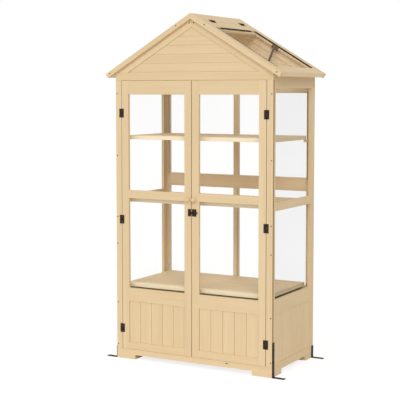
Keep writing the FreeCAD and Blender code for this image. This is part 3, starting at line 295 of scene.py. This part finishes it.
# How far an edge is eased, on most boards and on the front posts
EASE = 0.9 * MM
POST_EASE = 1.6 * MM
# The short edges round a screw hole stay sharp, or they would hold back the others
SHORTEST_EASED = 5 * MM
SHARP_ANGLE = math.radians(25)
# Corners of the solids closer than this are one corner
WELD = 0.005 * MM
# Each board's grain starts at a place of its own, within this reach
GRAIN_REACH = 40


def shells(mesh):
    """The triangles of a CAD mesh, shell by shell: one ends where all its edges are paired."""
    mesh.calc_loop_triangles()
    spots = [tuple(round(c, 7) for c in vertex.co) for vertex in mesh.vertices]
    waiting, shell = set(), []
    for triangle in mesh.loop_triangles:
        corners = [spots[i] for i in triangle.vertices]
        shell.append(corners)
        for start, end in zip(corners, corners[1:] + corners[:1]):
            if (end, start) in waiting:
                waiting.remove((end, start))
            else:
                waiting.add((start, end))
        if not waiting:
            yield shell
            shell = []
    if shell:
        yield shell


def eased_board(corners, ease, rng):
    """One board as a bmesh, with eased edges, and its grain and tone on the vertices."""
    board = bmesh.new()
    for triangle in corners:
        board.faces.new([board.verts.new(corner) for corner in triangle])
    bmesh.ops.remove_doubles(board, verts=board.verts, dist=WELD)
    bmesh.ops.dissolve_limit(board, angle_limit=math.radians(1), verts=board.verts,
                             edges=board.edges)
    longest = max(board.edges, key=lambda edge: edge.calc_length())
    along = (longest.verts[1].co - longest.verts[0].co).normalized()
    widest = max(board.faces, key=lambda face: face.calc_area())
    through = widest.normal.normalized()
    across = through.cross(along).normalized()
    sharp = [edge for edge in board.edges
             if len(edge.link_faces) == 2 and edge.calc_face_angle(0) > SHARP_ANGLE
             and edge.calc_length() > SHORTEST_EASED]
    bmesh.ops.bevel(board, geom=sharp, offset=ease, segments=2, profile=0.5,
                    affect="EDGES", clamp_overlap=True)
    grain = board.verts.layers.float_vector.new("grain")
    tone = board.verts.layers.float.new("tone")
    turn = Matrix((along, across, through))
    shift = Vector([rng.uniform(0, GRAIN_REACH) for _ in range(3)])
    shade = rng.uniform(0, 1)
    for vertex in board.verts:
        vertex[grain] = turn @ vertex.co + shift
        vertex[tone] = shade
    return board


def timber(node, firs, ease, choose):
    """Replaces a timber node with its boards, eased and with a grain of their own.
    A node has one fir or two, and choose picks one of them for each face."""
    rng = random.Random(node)
    mesh = bpy.data.meshes.new(node + "_timber")
    joined = bmesh.new()
    for corners in shells(nodes[node].data):
        board = eased_board(corners, ease, rng)
        for face in board.faces:
            face.material_index = choose(board, face)
        part = bpy.data.meshes.new("board")
        board.to_mesh(part)
        joined.from_mesh(part)
        board.free()
        bpy.data.meshes.remove(part)
    joined.to_mesh(mesh)
    joined.free()
    for fir in firs:
        mesh.materials.append(fir)
    piece = bpy.data.objects.new(node + "_timber", mesh)
    scene.collection.objects.link(piece)
    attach(piece, nodes[node]["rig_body"])
    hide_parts(node)


# Rules that pick a fir for a face: nought is the node's first fir, one its second

# Share of a face's normal that has to point the rule's way, on upright and sloping faces
SQUARE_ON = 0.9
SLOPING = 0.5
# The front rails of the shelves and the deck lie forward of this
FRONT_RAILS = -200 * MM
# The gaps lie nearer to the middle of the front, or further from it, than these
MEETING_EDGE = 10 * MM
HINGE_EDGE = 450 * MM


def one_fir(board, face):
    return 0


def post_edge(board, face):
    """The narrow faces of a front post take the darker fir, painted shade."""
    return int(abs(face.normal.x) > SQUARE_ON)


def gap_edge(board, face):
    """The edges of a door stile along the gaps take the darker fir, painted shade."""
    reach = abs(face.calc_center_median().x)
    return int(abs(face.normal.x) > SQUARE_ON and not MEETING_EDGE < reach < HINGE_EDGE)


def underside(board, face):
    """The underside of the roof takes the nearly white fir, painted light."""
    return int(face.normal.z < -SLOPING)


def stop_face(board, face):
    """The face of a door stop, seen through the gap beside the door, takes the darker fir,
    painted shade.
    """
    return int(face.normal.y < -SQUARE_ON)


def front_rail(board, face):
    """The rail along the front of a shelf or deck is its palest board, painted light."""
    return int(min(vertex.co.y for vertex in board.verts) < FRONT_RAILS)


KNOBS = ("left_door_knob", "right_door_knob")
FRAME_BOARDS = ([FRAME_FIR], EASE, one_fir)
# Gap edges, stop faces and post sides take painted shade; rails, slats, the back and the left
# slope's underside take painted light
OTHER_BOARDS = {
    "front_skirt": ([SKIRT_FIR], EASE, one_fir),
    "front_posts": ([FRAME_FIR, GAPS_PAINTED_SHADE], POST_EASE, post_edge),
    "door_stops": ([FRAME_FIR, GAPS_PAINTED_SHADE], EASE, stop_face),
    "left_roof_boards": ([FRAME_FIR, RAILS_PAINTED_LIGHT], EASE, underside),
}
for node in ("left_door_stiles", "right_door_stiles"):
    OTHER_BOARDS[node] = ([FRAME_FIR, GAPS_PAINTED_SHADE], EASE, gap_edge)
for node in ("upper_shelf_boards", "middle_shelf_boards", "deck_boards"):
    OTHER_BOARDS[node] = ([SLATS_PAINTED_LIGHT, RAILS_PAINTED_LIGHT], EASE, front_rail)
for node in ("back_gable_boards", "back_gable_frame", "back_mullions", "back_rails",
             "back_stiles"):
    OTHER_BOARDS[node] = ([BACK_PAINTED_LIGHT], EASE, one_fir)

for node in sorted(nodes):
    if slots[node] == "fir_timber" and node not in KNOBS:
        timber(node, *OTHER_BOARDS.get(node, FRAME_BOARDS))


# Fittings keep their solids and get their finish

def finish_with(material, *names):
    """Gives nodes of the model one material in place of their own."""
    for name in names:
        nodes[name].data.materials.clear()
        nodes[name].data.materials.append(material)


finish_with(BLACK_STEEL, "left_door_hinge_leaves", "right_door_hinge_leaves",
            "hatch_hinge_leaves", "fixed_hinge_leaves", "hinge_pins", "latch_plate",
            "latch_keeper", "latch_bolt", "ground_brackets")
finish_with(BRONZE_STEEL, "stay_hatch_plate", "stay_foot_plate", "stay_tube", "stay_rod")
finish_with(SEAL, "hatch_seals")
finish_with(CLEAR, "back_panes", "hatch_pane", "left_door_panes", "right_door_panes",
            "left_side_panes")
# The right side's panes carry the painted reflection
finish_with(REFLECTION_PAINTED_SHEET, "right_side_panes")


# Screws: one head and shank, set on the points of each body by Geometry Nodes

# The sizes that the screw tree takes, and the screws of this object in that order
SCREW_SIZES = ("Head Diameter", "Head Height", "Recess Width", "Shank Diameter",
               "Shank Length")
HINGE_SCREW = (5.6 * MM, 1.1 * MM, 1.1 * MM, 2.6 * MM, 12 * MM)
BRACKET_SCREW = (7.5 * MM, 1.8 * MM, 1.3 * MM, 3.4 * MM, 12 * MM)
FRAME_SCREW = (7.2 * MM, 1.8 * MM, 1.3 * MM, 4 * MM, 30 * MM)
APEX_SCREW = (7.2 * MM, 1.8 * MM, 1.3 * MM, 4 * MM, 16 * MM)


def screw_tree():
    """Cross recessed screws on points, each turned by chance about its own axis."""
    tree = bpy.data.node_groups.new("cross_recessed_screws", "GeometryNodeTree")
    tree.interface.new_socket("Points", in_out="INPUT", socket_type="NodeSocketGeometry")
    for name in SCREW_SIZES:
        tree.interface.new_socket(name, in_out="INPUT", socket_type="NodeSocketFloat")
    tree.interface.new_socket("Seed", in_out="INPUT", socket_type="NodeSocketInt")
    tree.interface.new_socket("Finish", in_out="INPUT", socket_type="NodeSocketMaterial")
    tree.interface.new_socket("Screws", in_out="OUTPUT", socket_type="NodeSocketGeometry")
    given = tree.nodes.new("NodeGroupInput").outputs
    result = tree.nodes.new("NodeGroupOutput")

    def share(amount, name):
        return add(tree, "ShaderNodeMath", {"operation": "MULTIPLY"}, _0=given[name],
                   _1=amount).outputs[0]

    def vector(x, y, z):
        return add(tree, "ShaderNodeCombineXYZ", X=x, Y=y, Z=z).outputs[0]

    # A low cone for the pan head, less the two crossed bars of the recess
    pan = add(tree, "GeometryNodeMeshCone", Vertices=20,
              Radius_Top=share(0.3, "Head Diameter"),
              Radius_Bottom=share(0.5, "Head Diameter"), Depth=given["Head Height"])
    recess = []
    for swapped in (False, True):
        width, length = given["Recess Width"], share(0.62, "Head Diameter")
        x, y = (width, length) if swapped else (length, width)
        bar = add(tree, "GeometryNodeMeshCube", Size=vector(x, y, given["Head Height"]))
        lifted = add(tree, "GeometryNodeTransform", Geometry=bar.outputs["Mesh"],
                     Translation=vector(0.0, 0.0, share(0.95, "Head Height")))
        recess.append(lifted.outputs[0])
    head = add(tree, "GeometryNodeMeshBoolean", {"operation": "DIFFERENCE"},
               Mesh_1=pan.outputs["Mesh"], Mesh_2=recess)
    shank = add(tree, "GeometryNodeMeshCylinder", Vertices=10,
                Radius=share(0.5, "Shank Diameter"), Depth=given["Shank Length"])
    sunk = add(tree, "GeometryNodeTransform", Geometry=shank.outputs["Mesh"],
               Translation=vector(0.0, 0.0, share(-0.5, "Shank Length")))
    screw = add(tree, "GeometryNodeJoinGeometry", Geometry=[sunk.outputs[0], head.outputs[0]])

    facing = add(tree, "GeometryNodeInputNamedAttribute", {"data_type": "FLOAT_VECTOR"},
                 Name="facing").outputs["Attribute"]
    upright = add(tree, "FunctionNodeAlignRotationToVector", {"axis": "Z"}, Vector=facing)
    chance = add(tree, "FunctionNodeRandomValue", {"data_type": "FLOAT"}, _2=0.0,
                 _3=math.pi / 2, Seed=given["Seed"]).outputs[1]
    twist = add(tree, "FunctionNodeAxisAngleToRotation", Axis=(0.0, 0.0, 1.0), Angle=chance)
    turned = add(tree, "FunctionNodeRotateRotation", {"rotation_space": "LOCAL"},
                 Rotation=upright.outputs[0], Rotate_By=twist.outputs[0])
    driven = add(tree, "GeometryNodeInstanceOnPoints", Points=given["Points"],
                 Instance=screw.outputs[0], Rotation=turned.outputs[0])
    real = add(tree, "GeometryNodeRealizeInstances", Geometry=driven.outputs[0])
    coated = add(tree, "GeometryNodeSetMaterial", Geometry=real.outputs[0],
                 Material=given["Finish"])
    tree.links.new(coated.outputs[0], result.inputs[0])
    return tree


SCREW_TREE = screw_tree()


def screws(name, body, spots, sizes, seed):
    """Screws of one kind on one body, from pairs of a head's place and its facing."""
    points = bpy.data.meshes.new(name)
    points.from_pydata([tuple(place) for place, _ in spots], [], [])
    facing = points.attributes.new("facing", "FLOAT_VECTOR", "POINT")
    for entry, (_, outward) in zip(facing.data, spots):
        entry.vector = outward
    piece = bpy.data.objects.new(name, points)
    scene.collection.objects.link(piece)
    modifier = piece.modifiers.new("screws", "NODES")
    modifier.node_group = SCREW_TREE
    values = dict(zip(SCREW_SIZES, sizes), Seed=seed, Finish=SCREW_STEEL)
    for socket in SCREW_TREE.interface.items_tree:
        if socket.name in values:
            modifier[socket.identifier] = values[socket.name]
    evaluated = piece.evaluated_get(bpy.context.evaluated_depsgraph_get())
    made = bpy.data.meshes.new_from_object(evaluated)
    piece.modifiers.clear()
    piece.data = made
    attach(piece, body)
    return piece


# Where the screws sit, read from the plates and the screws of the model

DOOR_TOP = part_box("left_door_stiles")[1].z
# Cosine of the angle to outward within which a triangle counts as facing it
FACING = 0.999
# Planes closer than this are one plane
LEVEL_STEP = 0.1 * MM


def outer_face(corners, outward):
    """The centre of the largest flat face of a shell that looks outward."""
    areas = {}
    for a, b, c in corners:
        a, b, c = Vector(a), Vector(b), Vector(c)
        doubled = (b - a).cross(c - a)
        if doubled.length > 0 and doubled.normalized().dot(outward) > FACING:
            level = round(a.dot(outward) / LEVEL_STEP)
            total, moment = areas.get(level, (0.0, Vector()))
            area = doubled.length / 2
            areas[level] = (total + area, moment + (a + b + c) / 3 * area)
    total, moment = max(areas.values(), key=lambda entry: entry[0])
    return moment / total


def points_of(corners):
    return [Vector(corner) for triangle in corners for corner in triangle]


def middle_of(corners):
    points = points_of(corners)
    return sum(points, Vector()) / len(points)


def on_roof(corners):
    """Outward for a hinge leaf on the roof, above the doors."""
    return ROOF_NORMAL if middle_of(corners).z > DOOR_TOP else None


def on_front(corners):
    """Outward for a plate on the front, below the door tops."""
    return FORWARD if middle_of(corners).z < DOOR_TOP else None


def inside_roof(corners):
    """Outward for the plates of the stay, which face forward under the roof."""
    return FORWARD


def plate_screws(name, node, seed, *rows):
    """Screws through the plates of a node. Each row has the rule that gives a plate's
    outward direction, the direction of its holes and their places along the plate."""
    spots = []
    for outward, along, holes in rows:
        for corners in shells(nodes[node].data):
            facing = outward(corners)
            if facing:
                middle = outer_face(corners, facing)
                spots += [(middle + along * hole, facing) for hole in holes]
    screws(name, nodes[node]["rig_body"], spots, HINGE_SCREW, seed)


# Places of the holes along a plate, from its middle
HINGE_HOLES = (-17 * MM, 17 * MM)
PLATE_HOLES = (-15.5 * MM, 15.5 * MM)
FOOT_HOLES = (-10.5 * MM, 10.5 * MM)
DOOR_HINGES = (on_front, UP, HINGE_HOLES)
ROOF_HINGES = (on_roof, BACKWARD, HINGE_HOLES)
LATCH = (on_front, UP, PLATE_HOLES)

plate_screws("left_door_hinge_screws", "left_door_hinge_leaves", 3, DOOR_HINGES)
plate_screws("right_door_hinge_screws", "right_door_hinge_leaves", 3, DOOR_HINGES)
plate_screws("hatch_hinge_screws", "hatch_hinge_leaves", 5, ROOF_HINGES)
plate_screws("fixed_hinge_screws", "fixed_hinge_leaves", 7, DOOR_HINGES, ROOF_HINGES)
plate_screws("latch_plate_screws", "latch_plate", 11, LATCH)
plate_screws("latch_keeper_screws", "latch_keeper", 11, LATCH)
plate_screws("stay_hatch_plate_screws", "stay_hatch_plate", 13,
             (inside_roof, DOWN_ROOF, PLATE_HOLES))
plate_screws("stay_foot_plate_screws", "stay_foot_plate", 17,
             (inside_roof, RIGHTWARD, FOOT_HOLES))

# Two screws up each bracket, at these shares of the height of its upright leg
BRACKET_HOLES = (0.42, 0.88)


def bracket_spots():
    """Screw places on the outer faces of the ground brackets."""
    spots = []
    for corners in shells(nodes["ground_brackets"].data):
        facing = Vector((math.copysign(1, middle_of(corners).x), 0, 0))
        tall = max(corner[2] for triangle in corners for corner in triangle)
        middle = outer_face(corners, facing)
        spots += [(Vector((middle.x, middle.y, tall * hole)), facing)
                  for hole in BRACKET_HOLES]
    return spots


screws("ground_bracket_screws", nodes["ground_brackets"]["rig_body"], bracket_spots(),
       BRACKET_SCREW, 19)

# Between the radius of a frame screw's shank and that of its head
SHANK_REACH = 3 * MM
# Between the length over all of an apex screw and that of the others
APEX_LENGTH = 24 * MM


def frame_screw_spots(at_apex):
    """Frame screws at the apex or elsewhere, from their solids: the wide end is the head."""
    spots = []
    for corners in shells(nodes["frame_screws"].data):
        points = points_of(corners)
        low = min(point.y for point in points)
        high = max(point.y for point in points)
        middle_x = (min(p.x for p in points) + max(p.x for p in points)) / 2
        middle_z = (min(p.z for p in points) + max(p.z for p in points)) / 2
        head = [p.y for p in points if abs(p.x - middle_x) > SHANK_REACH]
        front = abs(min(head) - low) < LEVEL_STEP
        seat = max(head) if front else min(head)
        if (high - low < APEX_LENGTH) == at_apex:
            spots.append((Vector((middle_x, seat, middle_z)),
                          FORWARD if front else BACKWARD))
    return spots


def frame_screws():
    """Stands for the frame_screws node: the long screws and the two short ones at the apex."""
    for name, at_apex, sizes in (("frame_screws_long", False, FRAME_SCREW),
                                 ("frame_screws_apex", True, APEX_SCREW)):
        piece = screws(name, nodes["frame_screws"]["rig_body"], frame_screw_spots(at_apex),
                       sizes, 23)
        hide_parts("frame_screws")


frame_screws()


# Knobs, turned from one piece of fir

KNOB_SIDES = 32
# Shares of the knob's radius and of its height from the door: foot, waist, flat ball
KNOB_PROFILE = ((0, 0.0), (0.50, 0.0), (0.52, 0.04), (0.47, 0.10), (0.42, 0.16),
                (0.46, 0.22), (0.66, 0.29), (0.86, 0.38), (0.97, 0.49), (1.0, 0.58),
                (0.97, 0.70), (0.86, 0.82), (0.66, 0.92), (0.40, 0.98), (0, 1.0))


def turned_knob(node, rng):
    """The knob's profile turned about its own axis, in the box of its solid."""
    low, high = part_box(node)
    middle = (low + high) / 2
    reach = high.y - low.y
    radius = (high.x - low.x) / 2
    knob = bmesh.new()
    grain = knob.verts.layers.float_vector.new("grain")
    tone = knob.verts.layers.float.new("tone")
    rings = []
    for out, forward in KNOB_PROFILE:
        ring = []
        for index in range(KNOB_SIDES if out else 1):
            turn = 2 * math.pi * index / KNOB_SIDES
            spot = Vector((middle.x + out * radius * math.cos(turn), high.y - forward * reach,
                           middle.z + out * radius * math.sin(turn)))
            ring.append(knob.verts.new(spot))
        rings.append(ring)
    for inner, outer in zip(rings, rings[1:]):
        for index in range(KNOB_SIDES):
            after = (index + 1) % KNOB_SIDES
            corners = [inner[index % len(inner)], inner[after % len(inner)],
                       outer[after % len(outer)], outer[index % len(outer)]]
            knob.faces.new(list(dict.fromkeys(corners)))
    shift = Vector([rng.uniform(0, GRAIN_REACH) for _ in range(3)])
    for vertex in knob.verts:
        vertex[grain] = Vector((vertex.co.y, vertex.co.x, vertex.co.z)) + shift
        vertex[tone] = 0.5
    bmesh.ops.recalc_face_normals(knob, faces=knob.faces)
    for face in knob.faces:
        face.smooth = True
    mesh = bpy.data.meshes.new(node + "_turned")
    knob.to_mesh(mesh)
    knob.free()
    mesh.materials.append(KNOB_FIR)
    piece = bpy.data.objects.new(node + "_turned", mesh)
    scene.collection.objects.link(piece)
    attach(piece, nodes[node]["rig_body"])
    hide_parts(node)


for node in KNOBS:
    turned_knob(node, random.Random(node))


# Floor, light and camera

FLOOR_SIZE = 60
# The light's own rays meet a pale floor and a dim sky. The camera sees a floor that is
# white in the light, by its glow, and greyer where the object shades it.
SKY_LEVEL = 0.52
FLOOR_ALBEDO = 0.88
FLOOR_SEEN = 0.3
FLOOR_GLOW = 0.8
# Name, strength, direction towards the lamp and spread in degrees
LAMPS = (("front_softbox", 0.5, (-0.35, -1.0, 0.5), 40),
         ("roof_softbox", 1.05, (0.5, -0.75, 0.6), 30))


def seen_directly(tree):
    """One for camera, glossy and transmission rays, and nought for the light's own."""
    path = add(tree, "ShaderNodeLightPath").outputs
    seen = path["Is Camera Ray"]
    for kind in ("Is Glossy Ray", "Is Transmission Ray"):
        seen = add(tree, "ShaderNodeMath", {"operation": "MAXIMUM"}, _0=seen,
                   _1=path[kind]).outputs[0]
    return seen


def floor_material():
    """Pale studio floor: white to the camera, and it keeps the object's soft shadow."""
    material, tree, shader = surface("studio_floor")
    seen = seen_directly(tree)
    albedo = add(tree, "ShaderNodeMapRange", Value=seen, To_Min=FLOOR_ALBEDO,
                 To_Max=FLOOR_SEEN).outputs[0]
    tree.links.new(albedo, shader.inputs["Base Color"])
    shader.inputs["Roughness"].default_value = 0.9
    shader.inputs["Specular IOR Level"].default_value = 0.0
    lift = add(tree, "ShaderNodeMath", {"operation": "MULTIPLY"}, _0=seen, _1=FLOOR_GLOW)
    glow = add(tree, "ShaderNodeEmission", Color=(1, 1, 1, 1), Strength=lift.outputs[0])
    both = add(tree, "ShaderNodeAddShader", _0=shader.outputs[0], _1=glow.outputs[0])
    tree.links.new(both.outputs[0], tree.nodes["Material Output"].inputs["Surface"])
    return material


def studio():
    bpy.ops.mesh.primitive_plane_add(size=FLOOR_SIZE, location=(0, 0, 0))
    floor = bpy.context.object
    floor.name = "studio_floor"
    floor.data.materials.append(floor_material())

    world = bpy.data.worlds.new("studio")
    scene.world = world
    world.use_nodes = True
    tree = world.node_tree
    level = add(tree, "ShaderNodeMapRange", Value=seen_directly(tree), To_Min=SKY_LEVEL,
                To_Max=1.0)
    backdrop = tree.nodes["Background"]
    backdrop.inputs["Color"].default_value = (1, 1, 1, 1)
    tree.links.new(level.outputs[0], backdrop.inputs["Strength"])

    for name, strength, direction, spread in LAMPS:
        data = bpy.data.lights.new(name, "SUN")
        data.energy = strength
        data.angle = math.radians(spread)
        lamp = bpy.data.objects.new(name, data)
        lamp.rotation_euler = Vector(direction).to_track_quat("Z", "Y").to_euler()
        scene.collection.objects.link(lamp)


# The photograph's uprights are nearly parallel: the camera looks down a little, and
# its frame is shifted a little.
CAMERA_PLACE = (3.0346, -5.6593, 1.5549)
CAMERA_TURN = (math.radians(85.427), 0, math.radians(28.992))
CAMERA_LENS = 100.12
CAMERA_SHIFT = -0.05


def photo_camera():
    data = bpy.data.cameras.new("camera")
    data.sensor_width = 36
    data.lens = CAMERA_LENS
    data.shift_y = CAMERA_SHIFT
    data.clip_end = 100
    camera = bpy.data.objects.new("camera", data)
    camera.location = CAMERA_PLACE
    camera.rotation_euler = CAMERA_TURN
    scene.collection.objects.link(camera)
    scene.camera = camera


studio()
photo_camera()
scene.view_settings.view_transform = "Standard"
